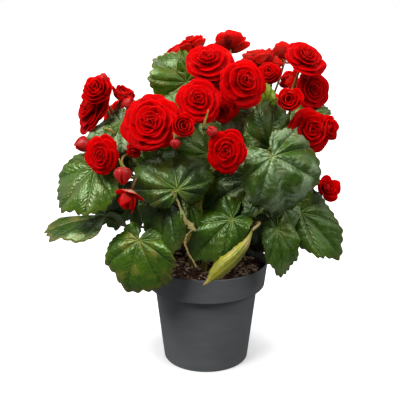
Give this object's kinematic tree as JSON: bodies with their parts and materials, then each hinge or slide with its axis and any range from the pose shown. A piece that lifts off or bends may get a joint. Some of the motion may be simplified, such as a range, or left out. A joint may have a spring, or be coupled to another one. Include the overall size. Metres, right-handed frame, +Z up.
{
  "type": "potted begonia",
  "caption": "Bushy begonia with double red rose-form blooms, toothed heart-shaped leaves and branching stems, growing in soil in a round tapered dark plastic nursery pot.",
  "frame": {"origin": "centre of the underside of the pot, on the surface that it stands on", "axes": "+Z up through the pot's middle, +X to the right and -Y towards the viewer of the plant's best side"},
  "size_m": [0.3069, 0.2241, 0.3413],
  "materials": {
    "pot": "satin moulded polypropylene",
    "soil": "moist crumbly bark-based potting soil",
    "stem": "juicy green stem with a reddish tint",
    "leaf": "glossy dark green leaf with sunken veins",
    "yellow_leaf": "ageing yellow leaf",
    "petal": "soft velvety red petal"
  },
  "bodies": {
    "root": {"pot": "pot", "soil": "soil", "stem_back_left": "stem", "stem_back_right": "stem", "stem_front": "stem", "stem_left": "stem", "stem_right": "stem", "leaf_back_left": "leaf", "leaf_back_left_low": "leaf", "leaf_back_low": "leaf", "leaf_back_middle": "leaf", "leaf_back_right": "leaf", "leaf_back_right_low": "leaf", "leaf_front_dark": "leaf", "leaf_front_folded": "leaf", "leaf_front_low": "leaf", "leaf_front_middle": "leaf", "leaf_front_small": "leaf", "leaf_front_upper": "leaf", "leaf_left_back": "leaf", "leaf_left_broad": "leaf", "leaf_left_level": "leaf", "leaf_left_low": "leaf", "leaf_left_upper": "leaf", "leaf_right_back": "leaf", "leaf_right_broad": "leaf", "leaf_right_low": "leaf", "leaf_right_outer": "leaf", "leaf_right_top": "leaf", "leaf_right_upright": "leaf", "leaf_top_back": "leaf", "leaf_top_left": "leaf", "leaf_yellow": "yellow_leaf", "bloom_back_high": "petal", "bloom_back_left": "petal", "bloom_back_middle": "petal", "bloom_back_right": "petal", "bloom_back_right_high": "petal", "bloom_back_right_top": "petal", "bloom_back_top": "petal", "bloom_front_half": "petal", "bloom_front_hidden": "petal", "bloom_front_large": "petal", "bloom_front_low": "petal", "bloom_front_middle": "petal", "bloom_front_right": "petal", "bloom_left_hanging": "petal", "bloom_left_low": "petal", "bloom_left_side": "petal", "bloom_left_small": "petal", "bloom_right_low": "petal", "bloom_right_middle": "petal", "bloom_right_small": "petal", "bloom_right_top": "petal", "bloom_right_upper": "petal", "bloom_top": "petal", "bloom_top_left": "petal", "bud_left_high": "petal", "bud_left_low": "petal", "bud_left_outer": "petal"}
  },
  "joints": []
}
